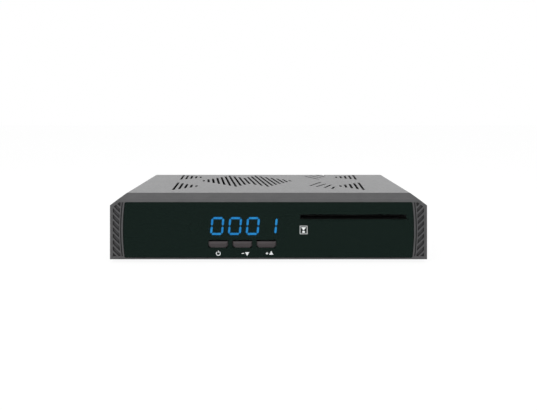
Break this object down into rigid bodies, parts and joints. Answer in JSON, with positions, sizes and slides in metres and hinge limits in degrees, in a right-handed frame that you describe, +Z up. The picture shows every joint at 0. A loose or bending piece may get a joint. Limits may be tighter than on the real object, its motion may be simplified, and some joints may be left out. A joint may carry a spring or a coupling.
{
  "type": "satellite tv receiver",
  "caption": "Flat satellite television receiver with a smoked front window, a digit display, push buttons, a smart card slot and rear sockets.",
  "frame": {"origin": "under the middle of the whole object's box, on the surface that the feet stand on", "axes": "+X to the right seen from the front, +Y from the front to the back, +Z up"},
  "size_m": [0.183, 0.1316, 0.039],
  "materials": {
    "bezel_plastic": "fine satin texture",
    "smoked_window": "polished smoked acrylic",
    "button_plastic": "satin",
    "black_nylon": "satin",
    "switch_metal": "satin",
    "circuit_board": "solder mask",
    "screw_steel": "zinc plated",
    "black_screw": "black oxide",
    "display_case": "black face",
    "lit_segment": "lit blue",
    "unlit_segment": "unlit",
    "infrared_lens": "dark violet epoxy",
    "white_plug": "natural nylon",
    "ribbon_film": "laminated film",
    "gold_contact": "gold flash",
    "brass_pillar": "turned",
    "chip_epoxy": "moulded epoxy",
    "pad_rubber": "soft",
    "sink_aluminium": "extruded",
    "capacitor_sleeve": "shrunk sleeve",
    "coil_ferrite": "sintered",
    "tinplate": "tin plated",
    "nickel_plate": "nickel plated",
    "white_insulator": "moulded",
    "orange_plastic": "moulded",
    "socket_plastic": "moulded",
    "case_paint": "fine powder coat",
    "foot_rubber": "matt"
  },
  "bodies": {
    "receiver": {"front_bezel": "bezel_plastic", "front_window": "smoked_window", "switch_housings": "switch_metal", "front_board": "circuit_board", "front_board_screws": "screw_steel", "display_module": "display_case", "lit_segments": "lit_segment", "unlit_segments": "unlit_segment", "infrared_receiver": "infrared_lens", "front_header": "white_plug", "ribbon_cable": "ribbon_film", "main_header": "white_plug", "card_reader": "black_nylon", "card_contacts": "gold_contact", "card_board": "circuit_board", "card_board_spacers": "brass_pillar", "card_board_screws": "screw_steel", "main_board": "circuit_board", "main_board_screws": "screw_steel", "main_processor": "chip_epoxy", "thermal_pad": "pad_rubber", "heat_sink": "sink_aluminium", "heat_sink_pins": "white_plug", "memory_chips": "chip_epoxy", "capacitors": "capacitor_sleeve", "power_inductors": "coil_ferrite", "tuner_can": "tinplate", "lnb_in_connector": "nickel_plate", "lnb_loop_connector": "nickel_plate", "connector_insulators": "white_insulator", "connector_washers": "nickel_plate", "connector_nuts": "nickel_plate", "video_socket": "tinplate", "video_tongue": "black_nylon", "data_socket": "tinplate", "data_tongue": "black_nylon", "audio_jack": "orange_plastic", "audio_jack_sleeve": "nickel_plate", "av_socket": "socket_plastic", "av_contacts": "gold_contact", "power_inlet": "socket_plastic", "power_inlet_pin": "nickel_plate", "chassis_base": "case_paint", "bezel_screws": "screw_steel", "top_cover": "case_paint", "cover_screws": "black_screw", "feet": "foot_rubber"},
    "power_key": {"power_button": "button_plastic", "power_plunger": "black_nylon"},
    "channel_down_key": {"channel_down_button": "button_plastic", "channel_down_plunger": "black_nylon"},
    "channel_up_key": {"channel_up_button": "button_plastic", "channel_up_plunger": "black_nylon"}
  },
  "joints": [
    {"name": "power_press", "type": "slide", "parent": "receiver", "child": "power_key", "axis": [0, 1, 0], "range_m": [0, 0.0004], "stiffness_N_per_m": 4000},
    {"name": "channel_down_press", "type": "slide", "parent": "receiver", "child": "channel_down_key", "axis": [0, 1, 0], "range_m": [0, 0.0004], "stiffness_N_per_m": 4000},
    {"name": "channel_up_press", "type": "slide", "parent": "receiver", "child": "channel_up_key", "axis": [0, 1, 0], "range_m": [0, 0.0004], "stiffness_N_per_m": 4000}
  ]
}
